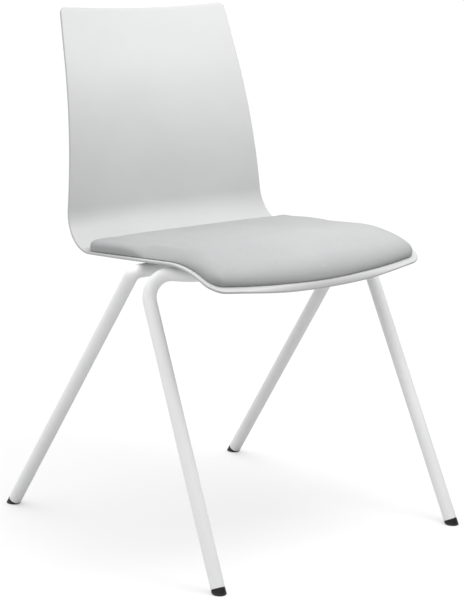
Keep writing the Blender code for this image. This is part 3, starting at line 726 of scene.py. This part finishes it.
def pad_piece():
    """The upholstered pad: a slightly slack form, swollen by cloth pressure over its foam."""
    across = graded_shares(PAD_HALF_WIDTH, 0.050, 13, 22)
    along = graded_shares(pad_half_length(), 0.032, 10, 18)
    edge = [(0.0010, 0.0), (0.0003, 0.15), (0.0, 0.45), (0.0, 1.0)]
    mesh = slab("upholstered_pad", pad_surface_point, across, along, edge)
    obj = add_piece("upholstered_pad", mesh, pad_leather(), ("pad_cover",))
    lifts = []
    for v in mesh.vertices:
        y, z, heading = shell_line(seat_distance(v.co.y))
        lift = (v.co.y - y) * math.sin(heading) - (v.co.z - z) * math.cos(heading)
        lifts.append(lift - SHELL_THICKNESS)
    inflate(obj, lifts, SWELL_PRESSURE, SWELL_CAP)
    smooth = obj.modifiers.new("smooth", "SUBSURF")
    smooth.levels = 1
    smooth.render_levels = 1
    return obj


# ---------------------------------------------------------------- tube frames


def rounded_path(corners, radii, step):
    """A polyline through the corners, each inner corner an arc of its radius."""
    path = [corners[0]]
    for before, corner, after, radius in zip(corners, corners[1:], corners[2:], radii):
        back = (before - corner).normalized()
        ahead = (after - corner).normalized()
        turn = math.pi - back.angle(ahead)
        start = corner + back * radius * math.tan(turn / 2.0)
        axis = (-back).cross(ahead).normalized()
        centre = start + axis.cross(-back) * radius
        steps = max(2, math.ceil(turn / step))
        for k in range(steps + 1):
            swing = Matrix.Rotation(turn * k / steps, 3, axis)
            path.append(centre + swing @ (start - centre))
    path.append(corners[-1])
    return path


def swept_rings(path, radii, sides):
    """Circles square to the path, carried along it without twist."""
    tangents = []
    for i in range(len(path)):
        back = path[max(i - 1, 0)]
        ahead = path[min(i + 1, len(path) - 1)]
        tangents.append((ahead - back).normalized())
    across = tangents[0].orthogonal().normalized()
    rings = []
    for point, tangent, radius in zip(path, tangents, radii):
        across = (across - tangent * across.dot(tangent)).normalized()
        other = tangent.cross(across)
        turns = (2.0 * math.pi * k / sides for k in range(sides))
        rings.append([point + (across * math.cos(t) + other * math.sin(t)) * radius
                      for t in turns])
    return rings


def leg_point(foot, rise, height, side):
    point = foot + rise * height
    return Vector((point.x * side, point.y, point.z))


def leg_direction(rise, side):
    return Vector((rise.x * side, rise.y, rise.z)).normalized()


def tube_piece(name, node, foot, rise, glide_length, half_corners, half_radii, material):
    """A bent hollow tube: leg, bends, cross run, bends, leg, its cut ends broken at the edge."""
    start = leg_point(foot, rise, 0.0, 1) + leg_direction(rise, 1) * (glide_length + GAP)
    half = [start] + half_corners
    mirrored = [Vector((-p.x, p.y, p.z)) for p in reversed(half)]
    path = rounded_path(half + mirrored, half_radii + half_radii[::-1], math.radians(4.0))
    rings = swept_rings(path, [TUBE_RADIUS] * len(path), 48)
    verts = [point for ring in rings for point in ring]
    mesh = merged_mesh(name, verts, grid_faces(len(rings), len(rings[0]), closed=True))
    normal = mesh.polygons[0].normal
    if normal.dot(mesh.polygons[0].center - path[0]) < 0.0:
        mesh.flip_normals()
    return add_piece(name, baked(mesh, thickness=TUBE_WALL, bevel=0.0006), material,
                     (node,))


def leg_frames(material):
    bend = leg_point(FRONT_FOOT, FRONT_LEG_RISE, FRONT_RUN_Z, 1)
    inward = (bend.y - FRONT_RUN_Y) * math.tan(FRONT_RUN_HEADING)
    corner = Vector((bend.x - inward, FRONT_RUN_Y, FRONT_RUN_Z))
    tube_piece("front_leg_frame", "front_leg_tube", FRONT_FOOT, FRONT_LEG_RISE,
               FRONT_GLIDE_LENGTH, [bend, corner], [FRONT_BEND_RADIUS, FRONT_CORNER_RADIUS],
               material)
    bend = leg_point(REAR_FOOT, REAR_LEG_RISE, REAR_RUN_Z, 1)
    tube_piece("rear_leg_frame", "rear_leg_tube", REAR_FOOT, REAR_LEG_RISE, REAR_GLIDE_LENGTH,
               [bend], [REAR_BEND_RADIUS], material)
    return bend.y


def weld_bead(name, start, end, radius, material):
    """A rippled bead of overlapping drops, tapered at its ends."""
    count = 44
    path = [start.lerp(end, k / count) for k in range(count + 1)]
    radii = []
    for k in range(count + 1):
        share = k / count
        taper = min(1.0, 6.0 * min(share, 1.0 - share) + 0.25)
        radii.append(radius * taper * (1.0 + 0.13 * abs(math.sin(share * math.pi * 11))))
    verts, faces = capped_loft(swept_rings(path, radii, 16))
    add_piece(name, merged_mesh(name, verts, faces), material)


def weld_beads(rear_run_y, material):
    """Fillets in the crevices where the rails cross the tubes' cross runs."""
    for side_name, side in SIDES:
        low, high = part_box(f"seat_rail_{side_name}")
        for end, y in (("front", FRONT_RUN_Y), ("rear", rear_run_y)):
            for face, offset in (("fore", -WELD_OFFSET), ("aft", WELD_OFFSET)):
                s = seat_distance(y + offset)
                height = shell_point(RAIL_X * side, s, -RAIL_THICKNESS - GAP - WELD_DROP).z
                weld_bead(f"weld_bead_{end}_{side_name}_{face}",
                          Vector((low.x + WELD_END_GAP, y + offset, height)),
                          Vector((high.x - WELD_END_GAP, y + offset, height)), WELD_RADIUS, material)


def rail_piece(name, side, node, material):
    """A flat bar that follows the shell's underside, its long edges rounded."""
    rear = seat_distance(RAIL_REAR_Y)
    front = seat_distance(RAIL_FRONT_Y)
    angles = [math.pi / 2.0 * k / 7 for k in range(1, 8)]
    rows = [(rear + RAIL_END * (1.0 - math.cos(k)), math.sin(k)) for k in angles]
    span = front - rear - 2.0 * RAIL_END
    rows += [(rear + RAIL_END + span * k / 30, 1.0) for k in range(1, 30)]
    rows += [(front - RAIL_END * (1.0 - math.cos(k)), math.sin(k)) for k in reversed(angles)]
    edge = 0.0007
    rings = []
    for s, share in rows:
        half = RAIL_WIDTH / 2.0 * share
        ring = []
        for turn, across, drop in ((180, -1, edge), (90, -1, RAIL_THICKNESS - edge),
                                   (0, 1, RAIL_THICKNESS - edge), (270, 1, edge)):
            for k in range(4):
                angle = math.radians(turn - 30 * k)
                ring.append((across * (half - edge) + math.cos(angle) * edge,
                             drop + math.sin(angle) * edge))
        rings.append([shell_point(RAIL_X * side + dx, s, -GAP - drop) for dx, drop in ring])
    verts, faces = capped_loft(rings)
    cutters = [cylinder_mesh(SCREW_SHANK_RADIUS + 0.0004, 4.0 * RAIL_THICKNESS,
                             under_seat(RAIL_X * side, y)) for y in SCREW_Y.values()]
    mesh = baked(merged_mesh(name, verts, faces), cutters=cutters)
    add_piece(name, mesh, material, (node,))


# ---------------------------------------------------------------- small parts


def glide_piece(name, node, foot, rise, length, side, material):
    """A foot cut flat on the floor, with a collar under the tube and a ribbed stem inside it."""
    axis = leg_direction(rise, side)
    centre = leg_point(foot, rise, 0.0, side)
    across = axis.orthogonal().normalized()
    other = axis.cross(across)
    steps = 64

    def ring(radius, distance):
        turns = (2.0 * math.pi * k / steps for k in range(steps))
        return [centre + axis * distance + (across * math.cos(t) + other * math.sin(t)) * radius
                for t in turns]

    def floor_ring(radius, height):
        return [p + axis * (height - p.z) / axis.z for p in ring(radius, 0.0)]

    edge = 0.0012
    stem = TUBE_RADIUS - TUBE_WALL - GAP
    rings = [floor_ring(TUBE_RADIUS - edge - 0.0016, 0.0004),
             floor_ring(TUBE_RADIUS - edge - 0.0010, 0.0)]
    rings += [floor_ring(TUBE_RADIUS - edge * (1.0 - math.sin(k)), edge * (1.0 - math.cos(k)))
              for k in (math.pi / 2.0 * i / 4 for i in range(5))]
    rings += [ring(TUBE_RADIUS, length - 0.0016), ring(TUBE_RADIUS - 0.0005, length - 0.0013),
              ring(TUBE_RADIUS - 0.0005, length - 0.0009), ring(TUBE_RADIUS, length - 0.0006),
              ring(TUBE_RADIUS - 0.0002, length), ring(stem, length)]
    ribs = 4
    for k in range(ribs):
        base = length + 0.002 + k * (GLIDE_STEM_LENGTH - 0.003) / ribs
        rings += [ring(stem - 0.0005, base), ring(stem, base + 0.0010), ring(stem, base + 0.0022),
                  ring(stem - 0.0005, base + 0.0026)]
    rings.append(ring(stem - 0.0009, length + GLIDE_STEM_LENGTH))
    verts, faces = capped_loft(rings)
    add_piece(name, merged_mesh(name, verts, faces), material, (node,))


def hex_socket(points, flats):
    """A lathe shape that makes the outline's first points six-sided."""

    def shape(index, radius, angle):
        if index not in points:
            return radius
        turn = (angle + math.pi / 6.0) % (math.pi / 3.0) - math.pi / 6.0
        return flats / math.cos(turn)

    return shape


def threads(radius, depth, start, end, pitch):
    """The (r, z) zigzag of a thread along a shank."""
    count = int((end - start) / pitch)
    points = []
    for k in range(count):
        z = start + k * pitch
        points += [(radius - depth, z), (radius, z + pitch * 0.5)]
    return points + [(radius - depth, start + count * pitch)]


def shell_screw_piece(name, node, x, y, material):
    """A pan-head screw with a hexagon socket, up through the washer and rail into the insert."""
    seat = GAP * 3 + RAIL_THICKNESS + WASHER_THICKNESS
    reach = seat + INSERT_HEIGHT - 2.0 * GAP
    head = 0.0030
    radius = 0.0046
    dome = [(radius * (0.62 + 0.38 * math.sin(k)), -head + head * 0.55 * (1.0 - math.cos(k)))
            for k in (math.pi / 2.0 * i / 6 for i in range(7))]
    profile = [(0.0, -head + 0.0018), (0.0014, -head + 0.0018), (0.0014, -head + 0.0001),
               (0.0018, -head)] + dome
    profile += [(radius, -0.0002), (radius - 0.0002, 0.0), (SCREW_SHANK_RADIUS, 0.0)]
    profile += threads(SCREW_SHANK_RADIUS, 0.0003, 0.0008, reach - 0.0010, 0.0008)
    profile += [(SCREW_SHANK_RADIUS - 0.0006, reach), (0.0, reach)]
    mesh = lathe(name, profile, under_seat(x, y, seat), shape=hex_socket((1, 2), 0.00125))
    add_piece(name, mesh, material, (node,))


def washer_piece(name, node, x, y, material):
    """A stamped washer: one face with a rolled edge, the other sharp."""
    inner = SCREW_SHANK_RADIUS + GAP
    outer = 0.0065
    profile = [(inner + 0.0001, 0.0), (outer - 0.0003, 0.0), (outer - 0.0001, 0.0001),
               (outer, 0.0003), (outer, WASHER_THICKNESS), (inner, WASHER_THICKNESS),
               (inner, 0.0001)]
    matrix = under_seat(x, y, 2.0 * GAP + RAIL_THICKNESS + WASHER_THICKNESS)
    add_piece(name, lathe(name, profile, matrix, 64), material, (node,))


def insert_piece(name, node, x, y, material):
    """A brass insert with two knurled bands and a plain waist."""
    inner = SCREW_SHANK_RADIUS + GAP
    waist = INSERT_RADIUS - 0.0006
    h = INSERT_HEIGHT
    profile = [(inner, 0.0), (INSERT_RADIUS, 0.0), (INSERT_RADIUS, h * 0.36), (waist, h * 0.44),
               (waist, h * 0.56), (INSERT_RADIUS, h * 0.64), (INSERT_RADIUS, h), (inner, h)]

    def knurl(index, radius, angle):
        return radius - 0.0002 * (1.0 + math.cos(24.0 * angle)) if radius > waist else radius

    mesh = lathe(name, profile, under_seat(x, y), 96, knurl)
    add_piece(name, mesh, material, (node,))


def pad_screw_piece(name, node, x, y, material):
    """A small pan-head screw that holds the pad's board from below."""
    reach = SHELL_THICKNESS + CURVED_GAP + COVER_THICKNESS + LAYER_GAP + BOARD_THICKNESS - GAP
    shank = PAD_SCREW_SHANK_RADIUS
    radius = 0.0038
    dome = [(radius * (0.55 + 0.45 * math.sin(k)), -0.0022 + 0.0015 * (1.0 - math.cos(k)))
            for k in (math.pi / 2.0 * i / 6 for i in range(7))]
    profile = [(0.0, -0.0008), (0.0011, -0.0008), (0.0011, -0.0021), (0.0014, -0.0022)] + dome
    profile += [(radius, -GAP), (shank, -GAP)]
    profile += threads(shank, 0.0003, 0.0006, reach - 0.0012, 0.0010)
    profile += [(shank * 0.5, reach), (0.0, reach)]
    mesh = lathe(name, profile, under_seat(x, y), shape=hex_socket((1, 2), 0.00095))
    add_piece(name, mesh, material, (node,))


def bumper_piece(name, node, x, y, z, material):
    """A clip-on block with rounded edges, open above, and drain grooves across its flat foot."""
    low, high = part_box(node)
    size = high - low
    centre = (low + high) / 2.0
    bm = bmesh.new()
    bmesh.ops.create_cube(bm, size=1.0)
    bmesh.ops.scale(bm, vec=size, verts=bm.verts[:])
    lower = [edge for edge in bm.edges if min(v.co.z for v in edge.verts) < 0.0]
    bmesh.ops.bevel(bm, geom=lower, offset=BUMPER_ROUND, segments=5, profile=0.5, affect="EDGES",
                    clamp_overlap=True)
    bmesh.ops.translate(bm, vec=centre, verts=bm.verts[:])
    mesh = bpy.data.meshes.new(name)
    bm.to_mesh(mesh)
    bm.free()
    bore = Matrix.Translation((x, y, z)) @ Matrix.Rotation(math.pi / 2.0, 4, "Y")
    cutters = [cylinder_mesh(TUBE_RADIUS + GAP, 0.06, bore, 96)]
    for k in (-1, 0, 1):
        groove = Matrix.Translation((x + BUMPER_GROOVE_SPACING * k, y, low.z)) @ Matrix.Rotation(
            math.pi / 2.0, 4, "X")
        cutters.append(cylinder_mesh(BUMPER_GROOVE_RADIUS, 0.06, groove, 16))
    add_piece(name, baked(mesh, cutters=cutters), material, (node,))


def small_parts(rear_run_y):
    nylon = glide_nylon()
    rubber = bumper_rubber()
    zinc = zinc_plate()
    insert = brass()
    for side_name, side in SIDES:
        for end, foot, rise, length, run_y, run_z in (
                ("front", FRONT_FOOT, FRONT_LEG_RISE, FRONT_GLIDE_LENGTH, FRONT_RUN_Y, FRONT_RUN_Z),
                ("rear", REAR_FOOT, REAR_LEG_RISE, REAR_GLIDE_LENGTH, rear_run_y, REAR_RUN_Z)):
            place = f"{end}_{side_name}"
            x = RAIL_X * side
            glide_piece(f"foot_{place}", f"glide_{place}", foot, rise, length, side, nylon)
            shell_screw_piece(f"socket_screw_{place}", f"shell_screw_{place}", x, SCREW_Y[end], zinc)
            washer_piece(f"washer_{place}", f"screw_washer_{place}", x, SCREW_Y[end], zinc)
            insert_piece(f"brass_insert_{place}", f"thread_insert_{place}", x, SCREW_Y[end], insert)
            pad_screw_piece(f"board_screw_{place}", f"pad_screw_{place}", PAD_SCREW_X * side,
                            PAD_SCREW_Y[end], zinc)
            node = f"stacking_bumper_{place}"
            low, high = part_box(node)
            bumper_piece(f"bumper_{place}", node, (low.x + high.x) / 2.0, run_y, run_z, rubber)


def hidden_nodes():
    """The CAD nodes that stay, inside the pad, with their own materials."""
    for node, slot, material in (("pad_foam", "foam", foam_sponge()),
                                 ("pad_board", "board", board_plastic())):
        mesh = frame["nodes"][node].data
        mesh.materials.clear()
        mesh.materials.append(material)


# ---------------------------------------------------------------- stage

FLOOR_RADIUS = 90.0
FLOOR_DROP = 0.0002
FLOOR_GREY = 0.55
FLOOR_GLOW = 0.37               # seen by the camera only, so it lights nothing
CEILING_HEIGHT = 0.95           # share of the way up the sky at which the ceiling is full
ROOM_STRENGTH = 0.34
CEILING_STRENGTH = 1.50
ROOM_LEAN = (-0.22, 0.27, 0.0)  # the room is brighter towards here
BACKDROP_STRENGTH = 1.05        # seen by the camera only
KEY_PLACE = (0.15, -0.35, 1.15)
KEY_TARGET = (0.0, 0.20, 0.65)
KEY_SIZE = (0.5, 0.5)
KEY_POWER = 5.0
CAMERA_PLACE = Vector((-1.8386, -2.2272, 0.9600))
CAMERA_TURN = math.radians(-39.703)
CAMERA_PITCH = math.radians(11.514)
CAMERA_ROLL = math.radians(0.065)
CAMERA_LENS = 106.06


def floor_material():
    """Pale studio floor; the camera also sees it lit from within, so that it reads as white."""
    s = Surface("studio_floor", Specular_IOR_Level=0.0)
    s.shader.inputs["Base Color"].default_value = (FLOOR_GREY, FLOOR_GREY, FLOOR_GREY, 1.0)
    s.shader.inputs["Roughness"].default_value = 1.0
    s.shader.inputs["Emission Color"].default_value = (1.0, 1.0, 1.0, 1.0)
    seen = s.node("ShaderNodeLightPath").outputs["Is Camera Ray"]
    glow = s.math("MULTIPLY", seen, FLOOR_GLOW)
    s.tree.links.new(glow, s.shader.inputs["Emission Strength"])
    return s.material


def floor():
    bm = bmesh.new()
    bmesh.ops.create_circle(bm, cap_ends=True, segments=96, radius=FLOOR_RADIUS)
    mesh = bpy.data.meshes.new("studio_floor")
    bm.to_mesh(mesh)
    bm.free()
    mesh.materials.append(floor_material())
    obj = bpy.data.objects.new("studio_floor", mesh)
    obj.location.z = -FLOOR_DROP
    bpy.context.scene.collection.objects.link(obj)


def world():
    """A dim room under a bright ceiling; the camera sees plain white beyond the floor."""
    made = bpy.data.worlds.new("studio")
    bpy.context.scene.world = made
    made.use_nodes = True
    tree = made.node_tree
    background = tree.nodes["Background"]
    place = tree.nodes.new("ShaderNodeTexCoord")
    split = tree.nodes.new("ShaderNodeSeparateXYZ")
    tree.links.new(place.outputs["Generated"], split.inputs[0])
    ramp = tree.nodes.new("ShaderNodeMapRange")
    ramp.interpolation_type = "SMOOTHSTEP"
    for key, value in (("From Min", 0.0), ("From Max", CEILING_HEIGHT),
                       ("To Min", ROOM_STRENGTH), ("To Max", CEILING_STRENGTH)):
        ramp.inputs[key].default_value = value
    tree.links.new(split.outputs[2], ramp.inputs["Value"])
    side = tree.nodes.new("ShaderNodeVectorMath")
    side.operation = "DOT_PRODUCT"
    side.inputs[1].default_value = ROOM_LEAN
    tree.links.new(place.outputs["Generated"], side.inputs[0])
    both = tree.nodes.new("ShaderNodeMath")
    tree.links.new(ramp.outputs[0], both.inputs[0])
    tree.links.new(side.outputs["Value"], both.inputs[1])
    seen = tree.nodes.new("ShaderNodeLightPath")
    choose = tree.nodes.new("ShaderNodeMix")
    tree.links.new(seen.outputs["Is Camera Ray"], choose.inputs[0])
    tree.links.new(both.outputs[0], choose.inputs[2])
    choose.inputs[3].default_value = BACKDROP_STRENGTH
    background.inputs["Color"].default_value = (1.0, 1.0, 1.0, 1.0)
    tree.links.new(choose.outputs[0], background.inputs["Strength"])


def softbox(name, place, target, size, power):
    light = bpy.data.lights.new(name, "AREA")
    light.shape = "RECTANGLE"
    light.size, light.size_y = size
    light.energy = power
    obj = bpy.data.objects.new(name, light)
    obj.location = place
    obj.rotation_mode = "QUATERNION"
    obj.rotation_quaternion = (Vector(target) - Vector(place)).to_track_quat("-Z", "Y")
    obj.visible_camera = False
    bpy.context.scene.collection.objects.link(obj)


def camera():
    data = bpy.data.cameras.new("camera")
    data.lens = CAMERA_LENS
    data.sensor_width = 36.0
    data.clip_end = 200.0
    obj = bpy.data.objects.new("camera", data)
    ahead = Vector((-math.sin(CAMERA_TURN) * math.cos(CAMERA_PITCH),
                    math.cos(CAMERA_TURN) * math.cos(CAMERA_PITCH), -math.sin(CAMERA_PITCH)))
    turn = ahead.to_track_quat("-Z", "Y").to_matrix().to_4x4()
    obj.matrix_world = (Matrix.Translation(CAMERA_PLACE) @ turn
                        @ Matrix.Rotation(-CAMERA_ROLL, 4, "Z"))
    bpy.context.scene.collection.objects.link(obj)
    bpy.context.scene.camera = obj


def stage():
    floor()
    world()
    softbox("key_softbox", KEY_PLACE, KEY_TARGET, KEY_SIZE, KEY_POWER)
    camera()
    bpy.context.scene.view_settings.view_transform = "Standard"


# ---------------------------------------------------------------- assembly

coat = powder_coat()
weld = weld_metal()
shell_piece()
pad_piece()
rear_run_y = leg_frames(coat)
for side_name, side in SIDES:
    rail_piece(f"rail_bar_{side_name}", side, f"seat_rail_{side_name}", coat)
weld_beads(rear_run_y, weld)
small_parts(rear_run_y)
hidden_nodes()
stage()
